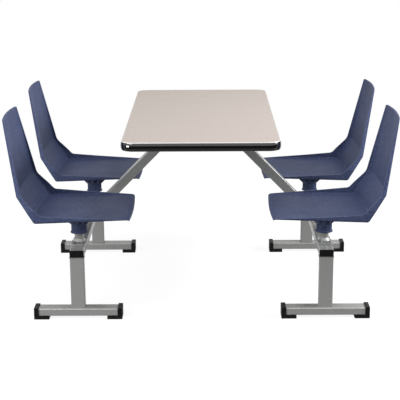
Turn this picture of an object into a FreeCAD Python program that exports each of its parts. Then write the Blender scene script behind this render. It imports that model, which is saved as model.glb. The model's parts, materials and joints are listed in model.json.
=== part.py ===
import FreeCAD, Part
import math
import os

# Four-seat cluster table: a laminated top on two slanted arms, two welded side frames,
# and four moulded seats that swivel on posts bolted to the side frames' beams.
# Millimetres. +Z is up, the origin is on the floor below the middle of the top,
# +X runs across the top and +Y along it.

os.makedirs("parts", exist_ok=True)
V = FreeCAD.Vector
UP = V(0, 0, 1)

# ---------------------------------------------------------------- driving dimensions

# Gaps between fitted pieces, and how deep ribs and lugs are rooted in their walls
SEAT_GAP = 0.05
RUNNING_CLEARANCE = 0.08
ROOT = 1.0

# Table top
TOP_WIDTH = 600.0
TOP_LENGTH = 1200.0
TOP_HEIGHT = 740.0
TOP_CORNER_RADIUS = 50.0
CORE_THICKNESS = 32.0
LAMINATE_THICKNESS = 1.0
BACKER_THICKNESS = 1.0
EDGE_THICKNESS = 5.0
EDGE_CROWN = 3.0
EDGE_ROUND = 2.0
BARB_DEPTH = 8.0
BARB_THICKNESS = 2.0
BARB_CLEARANCE = 0.2

# Rectangular frame tube and the welded side frames
TUBE_WIDE = 56.0
TUBE_DEEP = 30.0
TUBE_WALL = 2.5
TUBE_CORNER = 4.0
BEAM_X = 490.0
FOOT_Y = 440.0
FOOT_LENGTH = 350.0
UPRIGHT_LENGTH = 206.0

# Shoes on the foot bars
SHOE_THICKNESS = 13.0
SHOE_PAD_LENGTH = 60.0
SHOE_BAND_LENGTH = 15.0
SHOE_WALL = 3.5
SHOE_ROUND = 2.0

# Plastic caps in the beam ends
CAP_THICKNESS = 3.5
CAP_ROUND = 1.5
CAP_PLUG_DEPTH = 14.0
CAP_PLUG_WALL = 2.0
CAP_CLEARANCE = 0.2

# Square tube arms between the beams and the top, with the plates at their ends
ARM_TUBE = 38.0
ARM_SPREAD = 165.0
ARM_PLATE_LENGTH = 140.0
ARM_PLATE_THICKNESS = 6.0
ARM_BOLT_PITCH = 106.0
ARM_BOLT_DIAMETER = 10.0
ARM_BOLT_REACH = 22.0
MOUNT_PLATE_WIDTH = 300.0
MOUNT_PLATE_LENGTH = 180.0
MOUNT_PLATE_THICKNESS = 6.0
PLATE_CORNER = 8.0

# Screws up through the mounting plate into the core
SCREW_DIAMETER = 5.0
SCREW_HEAD_DIAMETER = 10.0
SCREW_HEAD_HEIGHT = 3.0
SCREW_HEAD_CHAMFER = 1.2
SCREW_COVER = 8.0
SCREW_TIP_GAP = 1.0
SCREW_EDGE = 18.0

# Hexagon bolts and the nuts riveted into the beams, as shares of the bolt's diameter
BOLT_ACROSS_FLATS = 1.6
BOLT_HEAD_HEIGHT = 0.64
NUT_ACROSS_FLATS = 1.35
NUT_LENGTH = 1.6

# Seat posts
SEAT_Y = 335.0
POST_DIAMETER = 38.0
POST_WALL = 4.0
POST_NECK_WIDTH = 8.0
POST_NECK_HEIGHT = 12.0
POST_PLATE_LENGTH = 104.0
POST_PLATE_THICKNESS = 6.0
POST_BOLT_PITCH_X = 34.0
POST_BOLT_PITCH_Y = 80.0
POST_BOLT_DIAMETER = 8.0
POST_BOLT_REACH = 18.0
POST_VISIBLE = 36.5
SPINDLE_DIAMETER = 24.0
SPINDLE_ROOT = 26.0
SPINDLE_TIP = 0.7
SPINDLE_HEADROOM = 0.55
RING_THICKNESS = 1.2
RING_WIDTH = 3.0
RING_GROOVE = 1.0
WASHER_THICKNESS = 3.0
WASHER_INSET = 0.5

# Bushes in the swivel hubs
BUSH_WALL = 3.0
BUSH_LENGTH = 24.0
BUSH_LIP = 2.5
BUSH_LIP_WIDTH = 3.0
BUSH_LIP_CLEARANCE = 2.0

# Swivel hubs
HUB_CHAMBER_STEP = 3.92
HUB_WALL = 5.5
HUB_FLANGE_WIDTH = 3.0
HUB_FLANGE_HEIGHT = 7.0
HUB_BARREL_HEIGHT = 33.0
HUB_FLARE_WIDTH = 7.0
HUB_NECK_HEIGHT = 38.5
HUB_HEAD_OVERHANG = 19.5
HUB_HEAD_THICKNESS = 10.0
HUB_WEB_THICKNESS = 10.0
HUB_RIBS = 12
HUB_RIB_THICKNESS = 4.0
HUB_RIB_SETBACK = 2.0

# Swivel stops: a pin across the post meets one of two lugs inside the hub
STOP_ANGLE = 90.0
STOP_GAP = 0.3
STOP_PIN_DIAMETER = 6.0
STOP_PIN_HEIGHT = 38.5
STOP_PIN_END_GAP = 1.0
STOP_PIN_TAIL = 1.5
LUG_WIDTH = 6.0
LUG_HEIGHT = 20.0
LUG_CLEARANCE = 1.5

# Seat screws
SEAT_SCREWS = 4
SEAT_SCREW_DIAMETER = 6.0
SEAT_SCREW_HEAD_DIAMETER = 10.8
SEAT_SCREW_HEAD_HEIGHT = 3.6
SEAT_SCREW_EDGE = 10.0
SEAT_SCREW_TIP_GAP = 0.5

# Moulded seat shell. Its own u axis runs from the post towards the seat's back.
SHELL_THICKNESS = 5.0
SHELL_FILLET = 12.0
NOSE_ROUND = 22.0
NOSE_SETBACK = 12.0
BOSS_HEIGHT = 7.5
BOSS_MARGIN = 4.0
PAN_TILT = 1.1
PAN_FRONT = 214.0
PAN_FRONT_BOW = 6.0
PAN_FRONT_HALF_WIDTH = 197.0
PAN_CORNER_RADIUS = 22.0
PAN_REAR = 147.0
PAN_REAR_HALF_WIDTH = 219.0
WALL_LEAN = 6.0
LOWER_BACK_ANGLE = 59.0
BEND_RISE = 102.5
BEND_HALF_WIDTH = 214.0
BACK_ANGLE = 81.7
BACK_RISE = 389.5
BACK_CROWN = 3.0
BACK_CORNER_HALF_WIDTH = 158.0
BACK_CORNER_RADIUS = 10.0
BOW_DEPTH = 18.0
CORNER_SHARE = 1.6

# The shell's rim, seen from the side
RIM_LIFT_FRONT = 0.4
RIM_LIFT_MIDDLE = 15.0
RIM_LIFT_REAR = 25.5
RIM_REAR_SETBACK = 25.0
RIM_BEND_DEPTH = 19.0
RIM_BEND_DROP = 3.0
RIM_ROUND_MIDDLE = 200.0
RIM_ROUND_REAR = 25.0
RIM_ROUND_BEND = 45.0

# ---------------------------------------------------------------- worked-out levels

TOP_STACK = LAMINATE_THICKNESS + CORE_THICKNESS + BACKER_THICKNESS
TOP_UNDERSIDE = TOP_HEIGHT - TOP_STACK
TOP_MIDDLE = TOP_HEIGHT - TOP_STACK / 2
CORE_BOTTOM = TOP_UNDERSIDE + BACKER_THICKNESS
CORE_TOP = CORE_BOTTOM + CORE_THICKNESS
SCREW_HOLE_TOP = CORE_TOP - SCREW_COVER
MOUNT_PLATE_BOTTOM = TOP_UNDERSIDE - MOUNT_PLATE_THICKNESS
FOOT_TOP = SHOE_THICKNESS + TUBE_DEEP
BEAM_BOTTOM = FOOT_TOP + UPRIGHT_LENGTH
BEAM_TOP = BEAM_BOTTOM + TUBE_DEEP
BEAM_HALF_LENGTH = FOOT_Y + TUBE_DEEP / 2
ARM_BOTTOM = BEAM_TOP + ARM_PLATE_THICKNESS
POST_PLATE_TOP = BEAM_TOP + POST_PLATE_THICKNESS
HUB_BOTTOM = POST_PLATE_TOP + POST_VISIBLE
HUB_BARREL_TOP = HUB_BOTTOM + HUB_BARREL_HEIGHT
HUB_FLARE_TOP = HUB_BARREL_TOP + HUB_FLARE_WIDTH
HUB_HEAD_BOTTOM = HUB_FLARE_TOP + HUB_NECK_HEIGHT
HUB_TOP = HUB_HEAD_BOTTOM + HUB_HEAD_THICKNESS
SPINDLE_TOP = HUB_TOP - SPINDLE_HEADROOM
RING_BOTTOM = SPINDLE_TOP - SPINDLE_TIP - RING_THICKNESS
HUB_RECESS_FLOOR = RING_BOTTOM - SEAT_GAP - BUSH_LIP
HUB_WEB_BOTTOM = HUB_RECESS_FLOOR - HUB_WEB_THICKNESS
POST_SHOULDER = HUB_WEB_BOTTOM - WASHER_THICKNESS
PAN_HEIGHT = HUB_TOP + BOSS_HEIGHT
BEND_HEIGHT = PAN_HEIGHT + BEND_RISE
BACK_TOP = PAN_HEIGHT + BACK_RISE
BACK_CORNER_HEIGHT = BACK_TOP - BACK_CROWN

# ---------------------------------------------------------------- worked-out radii

POST_RADIUS = POST_DIAMETER / 2
POST_BORE_RADIUS = POST_RADIUS - POST_WALL
SPINDLE_RADIUS = SPINDLE_DIAMETER / 2
LOWER_BUSH_BORE = POST_RADIUS + RUNNING_CLEARANCE
UPPER_BUSH_BORE = SPINDLE_RADIUS + RUNNING_CLEARANCE
CHAMBER_RADIUS = LOWER_BUSH_BORE + HUB_CHAMBER_STEP + BUSH_WALL
HUB_RADIUS = CHAMBER_RADIUS + HUB_WALL
FLARE_RADIUS = HUB_RADIUS + HUB_FLARE_WIDTH
HEAD_RADIUS = FLARE_RADIUS + HUB_HEAD_OVERHANG
SEAT_SCREW_RADIUS = HEAD_RADIUS - SEAT_SCREW_EDGE

# How far the solids that only trim the seat shell reach from its post
REACH = 2 * (PAN_FRONT + PAN_REAR)

SIDES = {"left": -1, "right": 1}
ENDS = {"front": -1, "rear": 1}


# ---------------------------------------------------------------- drawing helpers

def cosine(angle):
    """Cosine of an angle in degrees."""
    return math.cos(math.radians(angle))


def sine(angle):
    """Sine of an angle in degrees."""
    return math.sin(math.radians(angle))


def tangent(angle):
    """Tangent of an angle in degrees."""
    return math.tan(math.radians(angle))


def in_xy(level):
    """Places plan points at one height."""
    return lambda a, b: V(a, b, level)


def in_xz(a, b):
    """Places side-view points in the plane y = 0."""
    return V(a, 0, b)


def in_yz(a, b):
    """Places front-view points in the plane x = 0."""
    return V(0, a, b)


def rounded_wire(points, radii, place):
    """Closed outline through the points, each corner rounded by its own radius."""
    corners = [V(a, b, 0) for a, b in points]
    stretches = []
    for index, corner in enumerate(corners):
        to_last = (corners[index - 1] - corner).normalize()
        to_next = (corners[(index + 1) % len(corners)] - corner).normalize()
        radius = radii[index]
        if radius == 0:
            stretches.append((corner, None, corner))
            continue
        half = to_last.getAngle(to_next) / 2
        reach = radius / math.tan(half)
        inward = (to_last + to_next).normalize()
        middle = corner + inward * (radius / math.sin(half) - radius)
        stretches.append((corner + to_last * reach, middle, corner + to_next * reach))
    edges = []
    for index, (start, middle, end) in enumerate(stretches):
        if middle is not None:
            arc = [place(p.x, p.y) for p in (start, middle, end)]
            edges.append(Part.Arc(*arc).toShape())
        following = stretches[(index + 1) % len(stretches)][0]
        if not following.isEqual(end, 1e-6):
            edges.append(Part.makeLine(place(end.x, end.y), place(following.x, following.y)))
    return Part.Wire(edges)


def prism(points, radii, place, sweep):
    """Solid made by sweeping a rounded outline along a vector."""
    return Part.Face(rounded_wire(points, radii, place)).extrude(sweep)


def rectangle(width, depth):
    """Corner points of a rectangle about the origin."""
    return [(-width / 2, -depth / 2), (width / 2, -depth / 2),
            (width / 2, depth / 2), (-width / 2, depth / 2)]


def plate(width, depth, bottom, thickness, radius):
    """Flat plate with rounded corners, centred on the origin."""
    return prism(rectangle(width, depth), [radius] * 4, in_xy(bottom), UP * thickness)


def block(size_x, size_y, size_z, corner):
    """Plain box with its lowest corner at a point."""
    return Part.makeBox(size_x, size_y, size_z, corner)


def bore_corner(clearance):
    """Corner radius inside the frame tube, less a clearance."""
    return max(TUBE_CORNER - TUBE_WALL - clearance, 0)


def upright_tube(wide, deep, bottom, length):
    """Rectangular tube standing on end, hollow through."""
    outside = plate(wide, deep, bottom, length, TUBE_CORNER)
    inside = plate(wide - 2 * TUBE_WALL, deep - 2 * TUBE_WALL, bottom, length, bore_corner(0))
    return outside.cut(inside)


def rod(radius, bottom, height, x=0.0, y=0.0):
    """Upright round bar."""
    return Part.makeCylinder(radius, height, V(x, y, bottom))


def ring(outer, inner, bottom, height):
    """Upright round ring between two radii."""
    return rod(outer, bottom, height).cut(rod(inner, bottom, height))


def revolved(profile):
    """Solid of revolution about the Z axis from (radius, height) points."""
    points = [V(r, 0, z) for r, z in profile]
    face = Part.Face(Part.makePolygon(points + points[:1]))
    return face.revolve(V(0, 0, 0), UP, 360)


def turned(shape, angle, axis=UP):
    """Copy turned about an axis through the origin."""
    copy = shape.copy()
    copy.rotate(V(0, 0, 0), axis, angle)
    return copy


def moved(shape, x=0.0, y=0.0, z=0.0):
    """Copy moved by a vector."""
    copy = shape.copy()
    copy.translate(V(x, y, z))
    return copy


def grid(pitch_x, pitch_y):
    """The four corners of a bolt rectangle."""
    return [(i * pitch_x / 2, j * pitch_y / 2) for i in (-1, 1) for j in (-1, 1)]


def hexagon(across_flats, bottom, height):
    """Hexagonal bar."""
    radius = across_flats / math.sqrt(3)
    points = [(radius * cosine(60 * i), radius * sine(60 * i)) for i in range(6)]
    return prism(points, [0] * 6, in_xy(bottom), UP * height)


def hex_bolt(diameter, seat, reach):
    """Hex bolt whose head rests on the level seat and whose shank goes down by reach."""
    head = hexagon(BOLT_ACROSS_FLATS * diameter, seat, BOLT_HEAD_HEIGHT * diameter)
    return head.fuse(rod(diameter / 2, seat - reach, reach))


def rivet_nut(diameter):
    """Hexagonal nut flush with the beam's top, where it fills a hexagonal hole."""
    length = NUT_LENGTH * diameter
    body = hexagon(NUT_ACROSS_FLATS * diameter, BEAM_TOP - length, length)
    return body.cut(rod(diameter / 2 + SEAT_GAP, BEAM_TOP - length, length))


def at_places(shape, places):
    """One separate copy of a piece at each plan place."""
    return [moved(shape, x, y) for x, y in places]


def cut_holes(shape, diameter, places, bottom, height):
    """Drills one clearance hole at each place."""
    return shape.cut(at_places(rod(diameter / 2 + SEAT_GAP, bottom, height), places))


def save(node, shape):
    """Writes one node's solid, or group of solids, to its own file."""
    solids = shape if isinstance(shape, list) else [shape]
    group = Part.Compound(solids) if len(solids) > 1 else solids[0]
    group.exportStep("parts/" + node + ".step")


# ---------------------------------------------------------------- table top

def top_outline(inset, bottom, thickness):
    """Slab with the table's rounded outline, set in from its edge."""
    return plate(TOP_WIDTH - 2 * inset, TOP_LENGTH - 2 * inset, bottom, thickness,
                 TOP_CORNER_RADIUS - inset)


def barb_ring(clearance):
    """Ring that the barb fills, or with clearance the groove cut for it."""
    height = BARB_THICKNESS + 2 * clearance
    bottom = (CORE_BOTTOM + CORE_TOP - height) / 2
    outer = top_outline(EDGE_THICKNESS - clearance, bottom, height)
    return outer.cut(top_outline(EDGE_THICKNESS + BARB_DEPTH + clearance, bottom, height))


def mount_screw_places():
    """Screws round the rim of the mounting plate, clear of the arms."""
    x = MOUNT_PLATE_WIDTH / 2 - SCREW_EDGE
    y = MOUNT_PLATE_LENGTH / 2 - SCREW_EDGE
    return [(i * x, j * y) for i in (-1, 0, 1) for j in (-1, 1)] + [(-x, 0), (x, 0)]


def table_core():
    """Particle board core with screw holes and the groove for the edge moulding's barb."""
    core = top_outline(EDGE_THICKNESS, CORE_BOTTOM, CORE_THICKNESS).cut(barb_ring(BARB_CLEARANCE))
    depth = SCREW_HOLE_TOP - CORE_BOTTOM
    return cut_holes(core, SCREW_DIAMETER, mount_screw_places(), CORE_BOTTOM, depth)


def edge_profile():
    """Section of the moulding's band, crowned outwards, at a corner of the top's straight side."""
    seat = EDGE_THICKNESS - TOP_WIDTH / 2
    lip = EDGE_CROWN - TOP_WIDTH / 2
    start = TOP_CORNER_RADIUS - TOP_LENGTH / 2
    crest, low, high, high_seat, low_seat = [
        V(x, start, z) for x, z in (
            (-TOP_WIDTH / 2, TOP_MIDDLE), (lip, TOP_UNDERSIDE), (lip, TOP_HEIGHT),
            (seat, TOP_HEIGHT), (seat, TOP_UNDERSIDE))]
    return Part.Wire([Part.Arc(low, crest, high).toShape(), Part.makeLine(high, high_seat),
                      Part.makeLine(high_seat, low_seat), Part.makeLine(low_seat, low)])


def edge_moulding():
    """T-moulding: a crowned band with rounded lips and a barb pressed into the core."""
    inset = 2 * EDGE_THICKNESS
    path = rounded_wire(rectangle(TOP_WIDTH - inset, TOP_LENGTH - inset),
                        [TOP_CORNER_RADIUS - EDGE_THICKNESS] * 4, in_xy(TOP_MIDDLE))
    band = path.makePipeShell([edge_profile()], True, False)
    inside = top_outline(EDGE_THICKNESS, TOP_UNDERSIDE, TOP_STACK)
    level = [edge for edge in band.Edges if edge.BoundBox.ZLength < EDGE_ROUND]
    lips = [edge for edge in level if inside.distToShape(edge)[0] > EDGE_ROUND / 2]
    return band.makeFillet(EDGE_ROUND, lips).fuse(barb_ring(0)).removeSplitter()


def mount_screw():
    """Pan-head screw that holds the mounting plate under the top."""
    head = SCREW_HEAD_DIAMETER / 2
    shank = SCREW_DIAMETER / 2
    bottom = MOUNT_PLATE_BOTTOM - SCREW_HEAD_HEIGHT
    tip = SCREW_HOLE_TOP - SCREW_TIP_GAP
    return revolved([(0, bottom), (head - SCREW_HEAD_CHAMFER, bottom),
                     (head, bottom + SCREW_HEAD_CHAMFER), (head, MOUNT_PLATE_BOTTOM),
                     (shank, MOUNT_PLATE_BOTTOM), (shank, tip), (0, tip)])


def build_top():
    """Everything from the laminate down to the mounting plate and its screws."""
    places = mount_screw_places()
    backer = top_outline(EDGE_THICKNESS, TOP_UNDERSIDE, BACKER_THICKNESS)
    mount = plate(MOUNT_PLATE_WIDTH, MOUNT_PLATE_LENGTH, MOUNT_PLATE_BOTTOM,
                  MOUNT_PLATE_THICKNESS, PLATE_CORNER)
    save("table_core", table_core())
    save("top_laminate", top_outline(EDGE_THICKNESS, CORE_TOP, LAMINATE_THICKNESS))
    save("backing_sheet", cut_holes(backer, SCREW_DIAMETER, places, TOP_UNDERSIDE, BACKER_THICKNESS))
    save("edge_moulding", edge_moulding())
    save("table_mount_plate",
         cut_holes(mount, SCREW_DIAMETER, places, MOUNT_PLATE_BOTTOM, MOUNT_PLATE_THICKNESS))
    save("mount_plate_screws", at_places(mount_screw(), places))


# ---------------------------------------------------------------- arms

def arm(side):
    """Slanted tube from the beam up to the mounting plate, cut level at both ends."""
    rise = MOUNT_PLATE_BOTTOM - ARM_BOTTOM
    run = BEAM_X - ARM_SPREAD / 2
    lean = math.degrees(math.atan2(run, rise))
    spare = 2 * ARM_TUBE
    tube = upright_tube(ARM_TUBE, ARM_TUBE, -spare, math.hypot(rise, run) + 2 * spare)
    tube = moved(turned(tube, -side * lean, V(0, 1, 0)), side * BEAM_X, 0, ARM_BOTTOM)
    half_slab = BEAM_X + spare
    slab = block(2 * half_slab, 2 * ARM_TUBE, rise, V(-half_slab, -ARM_TUBE, ARM_BOTTOM))
    return tube.common(slab)


def arm_bolt_places(side):
    """The bolts of one arm plate, one each side of the arm along the beam."""
    return [(side * BEAM_X, j * ARM_BOLT_PITCH / 2) for j in (-1, 1)]


def build_arms():
    """Both arms, the plates welded to their feet and the bolts into the beams."""
    bolts = []
    for name, side in SIDES.items():
        places = arm_bolt_places(side)
        foot = plate(TUBE_WIDE, ARM_PLATE_LENGTH, BEAM_TOP, ARM_PLATE_THICKNESS, PLATE_CORNER)
        foot = cut_holes(moved(foot, side * BEAM_X), ARM_BOLT_DIAMETER, places,
                         BEAM_TOP, ARM_PLATE_THICKNESS)
        save("arm_" + name, arm(side))
        save("arm_foot_plate_" + name, foot)
        bolts += at_places(hex_bolt(ARM_BOLT_DIAMETER, ARM_BOTTOM, ARM_BOLT_REACH), places)
    save("arm_bolts", bolts)


# ---------------------------------------------------------------- side frames

def post_bolt_places(side, end):
    """The four bolts of one post's base plate."""
    return [(side * BEAM_X + x, end * SEAT_Y + y)
            for x, y in grid(POST_BOLT_PITCH_X, POST_BOLT_PITCH_Y)]


def beam_nuts(side):
    """The nuts riveted into one beam, for its arm's bolts and for its posts' bolts."""
    nuts = at_places(rivet_nut(ARM_BOLT_DIAMETER), arm_bolt_places(side))
    for end in ENDS.values():
        nuts += at_places(rivet_nut(POST_BOLT_DIAMETER), post_bolt_places(side, end))
    return nuts


def beam(side):
    """Tube lying flat along the seats, pierced on top for the nuts."""
    length = 2 * (BEAM_HALF_LENGTH - CAP_THICKNESS)
    tube = upright_tube(TUBE_WIDE, TUBE_DEEP, -length / 2, length)
    tube = turned(tube, 90, V(1, 0, 0))
    tube = moved(tube, side * BEAM_X, 0, BEAM_TOP - TUBE_DEEP / 2)
    places = {ARM_BOLT_DIAMETER: arm_bolt_places(side),
              POST_BOLT_DIAMETER: post_bolt_places(side, -1) + post_bolt_places(side, 1)}
    for diameter, spots in places.items():
        hole = hexagon(NUT_ACROSS_FLATS * diameter, BEAM_TOP - 2 * TUBE_WALL, 3 * TUBE_WALL)
        tube = tube.cut(at_places(hole, spots))
    return tube


def beam_cap():
    """Hollow plastic plug for a beam's end, modelled standing on its face."""
    face = plate(TUBE_WIDE, TUBE_DEEP, 0, CAP_THICKNESS, TUBE_CORNER)
    rim = [edge for edge in face.Edges if edge.BoundBox.ZMax < CAP_THICKNESS / 2]
    face = face.makeChamfer(CAP_ROUND, rim)
    plug_wide = TUBE_WIDE - 2 * (TUBE_WALL + CAP_CLEARANCE)
    plug_deep = TUBE_DEEP - 2 * (TUBE_WALL + CAP_CLEARANCE)
    plug = plate(plug_wide, plug_deep, CAP_THICKNESS, CAP_PLUG_DEPTH, bore_corner(CAP_CLEARANCE))
    hollow = plate(plug_wide - 2 * CAP_PLUG_WALL, plug_deep - 2 * CAP_PLUG_WALL,
                   CAP_THICKNESS, CAP_PLUG_DEPTH, 0)
    return face.fuse(plug.cut(hollow))


def shoe():
    """Moulded shoe on the end of a foot bar; the bar's end face lies at x = 0."""
    width = TUBE_WIDE + 2 * SHOE_WALL
    height = SHOE_THICKNESS + TUBE_DEEP + SHOE_WALL
    band = block(SHOE_BAND_LENGTH + SHOE_WALL, width, height, V(-SHOE_BAND_LENGTH, -width / 2, 0))
    pad = block(SHOE_PAD_LENGTH, width, SHOE_THICKNESS, V(SHOE_WALL - SHOE_PAD_LENGTH, -width / 2, 0))
    body = band.fuse(pad).removeSplitter()
    outer = [edge for edge in body.Edges
             if edge.BoundBox.XMin > SHOE_WALL / 2 or edge.BoundBox.ZMin > height - SHOE_WALL / 2]
    body = body.makeFillet(SHOE_ROUND, outer)
    socket = block(SHOE_BAND_LENGTH, TUBE_WIDE, TUBE_DEEP,
                   V(-SHOE_BAND_LENGTH, -TUBE_WIDE / 2, SHOE_THICKNESS))
    along = [edge for edge in socket.Edges if edge.BoundBox.XLength > SHOE_BAND_LENGTH / 2]
    return body.cut(socket.makeFillet(TUBE_CORNER, along))


def foot_bar():
    """Tube lying flat across the frame's foot, between its shoes."""
    length = FOOT_LENGTH - 2 * SHOE_WALL
    tube = upright_tube(TUBE_DEEP, TUBE_WIDE, -length / 2, length)
    return moved(turned(tube, 90, V(0, 1, 0)), 0, 0, SHOE_THICKNESS + TUBE_DEEP / 2)


def build_side_frames():
    """Two welded frames: a beam with end caps on two uprights, each on its own foot bar."""
    upright = upright_tube(TUBE_WIDE, TUBE_DEEP, FOOT_TOP, UPRIGHT_LENGTH)
    half_bar = FOOT_LENGTH / 2 - SHOE_WALL
    shoes = [moved(shoe(), half_bar), turned(moved(shoe(), half_bar), 180)]
    nuts = []
    for name, side in SIDES.items():
        x = side * BEAM_X
        save("beam_" + name, beam(side))
        nuts += beam_nuts(side)
        for place, end in ENDS.items():
            label = name + "_" + place
            cap = turned(beam_cap(), end * 90, V(1, 0, 0))
            save("beam_cap_" + label,
                 moved(cap, x, end * BEAM_HALF_LENGTH, BEAM_TOP - TUBE_DEEP / 2))
            save("upright_" + label, moved(upright, x, end * FOOT_Y))
            save("foot_bar_" + label, moved(foot_bar(), x, end * FOOT_Y))
            save("foot_shoes_" + label, [moved(item, x, end * FOOT_Y) for item in shoes])
    save("beam_rivet_nuts", nuts)


# ---------------------------------------------------------------- seat posts

def stop_pin():
    """Dowel through the post's wall; it points to the seat's back, towards the hub's lugs."""
    tail = POST_BORE_RADIUS - STOP_PIN_TAIL
    return Part.makeCylinder(STOP_PIN_DIAMETER / 2, CHAMBER_RADIUS - STOP_PIN_END_GAP - tail,
                             V(tail, 0, HUB_BOTTOM + STOP_PIN_HEIGHT), V(1, 0, 0))


def seat_post():
    """Turned post: weld neck, drilled barrel, and a spindle with a ring groove on top."""
    neck = POST_RADIUS + POST_NECK_WIDTH
    bore_top = POST_SHOULDER - SPINDLE_ROOT
    groove = SPINDLE_RADIUS - RING_GROOVE
    post = revolved([
        (POST_BORE_RADIUS, POST_PLATE_TOP), (neck, POST_PLATE_TOP),
        (POST_RADIUS, POST_PLATE_TOP + POST_NECK_HEIGHT), (POST_RADIUS, POST_SHOULDER),
        (SPINDLE_RADIUS, POST_SHOULDER), (SPINDLE_RADIUS, RING_BOTTOM),
        (groove, RING_BOTTOM), (groove, RING_BOTTOM + RING_THICKNESS),
        (SPINDLE_RADIUS, RING_BOTTOM + RING_THICKNESS), (SPINDLE_RADIUS, SPINDLE_TOP),
        (0, SPINDLE_TOP), (0, bore_top), (POST_BORE_RADIUS, bore_top)])
    return post.cut(stop_pin())


def retaining_ring():
    """Split ring in the spindle's groove, above the hub."""
    inner = SPINDLE_RADIUS - RING_GROOVE
    whole = ring(inner + RING_WIDTH, inner, RING_BOTTOM, RING_THICKNESS)
    split = block(2 * SPINDLE_RADIUS, RING_WIDTH, RING_THICKNESS, V(0, -RING_WIDTH / 2, RING_BOTTOM))
    return whole.cut(split)


def thrust_washer():
    """Low-friction washer between the post's shoulder and the hub's web."""
    return ring(POST_RADIUS - WASHER_INSET, SPINDLE_RADIUS + SEAT_GAP, POST_SHOULDER, WASHER_THICKNESS)


def at_seat(shape, side, end):
    """Moves a piece from the seat's own axis to its post, with its back to the outside."""
    facing = shape if side > 0 else turned(shape, 180)
    return moved(facing, side * BEAM_X, end * SEAT_Y)


def build_posts():
    """Base plates, posts, bolts, stop pins, thrust washers and retaining rings."""
    base = plate(TUBE_WIDE, POST_PLATE_LENGTH, BEAM_TOP, POST_PLATE_THICKNESS, PLATE_CORNER)
    base = cut_holes(base, POST_BOLT_DIAMETER, grid(POST_BOLT_PITCH_X, POST_BOLT_PITCH_Y),
                     BEAM_TOP, POST_PLATE_THICKNESS)
    bolt = hex_bolt(POST_BOLT_DIAMETER, POST_PLATE_TOP, POST_BOLT_REACH)
    pins, washers, rings = [], [], []
    for name, side in SIDES.items():
        bolts = []
        for place, end in ENDS.items():
            label = name + "_" + place
            save("post_base_plate_" + label, at_seat(base, side, end))
            save("seat_post_" + label, at_seat(seat_post(), side, end))
            bolts += at_places(bolt, post_bolt_places(side, end))
            pins.append(at_seat(stop_pin(), side, end))
            washers.append(at_seat(thrust_washer(), side, end))
            rings.append(at_seat(retaining_ring(), side, end))
        save("post_bolts_" + name, bolts)
    save("swivel_stop_pins", pins)
    save("thrust_washers", washers)
    save("retaining_rings", rings)


# ---------------------------------------------------------------- swivel hubs

def seat_screw_places():
    """Seat screws on their circle, midway between the hub's ribs."""
    step = 360 / SEAT_SCREWS
    angles = [(i + 0.5) * step for i in range(SEAT_SCREWS)]
    return [(SEAT_SCREW_RADIUS * cosine(angle), SEAT_SCREW_RADIUS * sine(angle)) for angle in angles]


def hub_rib():
    """Gusset that carries the flare's slope on, out to the head's rim."""
    inner = HUB_RADIUS - ROOT
    outer = HEAD_RADIUS - HUB_RIB_SETBACK
    points = [(inner, HUB_FLARE_TOP), (FLARE_RADIUS, HUB_FLARE_TOP),
              (outer, HUB_FLARE_TOP + outer - FLARE_RADIUS), (outer, HUB_HEAD_BOTTOM),
              (inner, HUB_HEAD_BOTTOM)]
    rib = prism(points, [0] * 5, in_xz, V(0, HUB_RIB_THICKNESS, 0))
    return moved(rib, 0, -HUB_RIB_THICKNESS / 2)


def stop_lug(sign):
    """Lug inside the hub that meets the stop pin at the end of the swing."""
    inner = POST_RADIUS + LUG_CLEARANCE
    half_pin = math.degrees(math.asin((STOP_PIN_DIAMETER / 2 + STOP_GAP) / inner))
    half_lug = math.degrees(math.asin(LUG_WIDTH / 2 / inner))
    bottom = HUB_BOTTOM + STOP_PIN_HEIGHT - LUG_HEIGHT / 2
    lug = block(CHAMBER_RADIUS + ROOT - inner, LUG_WIDTH, LUG_HEIGHT, V(inner, -LUG_WIDTH / 2, bottom))
    return turned(lug, sign * (STOP_ANGLE + half_pin + half_lug))


def swivel_hub():
    """Moulded hub: flanged barrel, flare, ribbed head, bush seats and stop lugs inside."""
    flange = HUB_RADIUS + HUB_FLANGE_WIDTH
    lower_seat = LOWER_BUSH_BORE + BUSH_WALL + SEAT_GAP
    upper_seat = UPPER_BUSH_BORE + BUSH_WALL + SEAT_GAP
    recess = UPPER_BUSH_BORE + BUSH_WALL + BUSH_LIP_WIDTH + BUSH_LIP_CLEARANCE
    body = revolved([
        (lower_seat, HUB_BOTTOM), (flange, HUB_BOTTOM),
        (flange, HUB_BOTTOM + HUB_FLANGE_HEIGHT - HUB_FLANGE_WIDTH),
        (HUB_RADIUS, HUB_BOTTOM + HUB_FLANGE_HEIGHT), (HUB_RADIUS, HUB_BARREL_TOP),
        (FLARE_RADIUS, HUB_FLARE_TOP), (FLARE_RADIUS, HUB_HEAD_BOTTOM),
        (HEAD_RADIUS, HUB_HEAD_BOTTOM), (HEAD_RADIUS, HUB_TOP), (recess, HUB_TOP),
        (recess, HUB_RECESS_FLOOR), (upper_seat, HUB_RECESS_FLOOR), (upper_seat, HUB_WEB_BOTTOM),
        (CHAMBER_RADIUS, HUB_WEB_BOTTOM), (CHAMBER_RADIUS, HUB_BOTTOM + BUSH_LENGTH),
        (lower_seat, HUB_BOTTOM + BUSH_LENGTH)])
    ribs = [turned(hub_rib(), 360 / HUB_RIBS * i) for i in range(HUB_RIBS)]
    body = body.fuse(ribs + [stop_lug(-1), stop_lug(1)]).removeSplitter()
    return cut_holes(body, SEAT_SCREW_DIAMETER, seat_screw_places(), HUB_HEAD_BOTTOM, HUB_HEAD_THICKNESS)


def lipped_bush(bore, bottom, length, lip_bottom):
    """Plain bush with a wider lip at one end."""
    sleeve = ring(bore + BUSH_WALL, bore, bottom, length)
    lip = ring(bore + BUSH_WALL + BUSH_LIP_WIDTH, bore, lip_bottom, BUSH_LIP)
    return sleeve.fuse(lip).removeSplitter()


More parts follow.
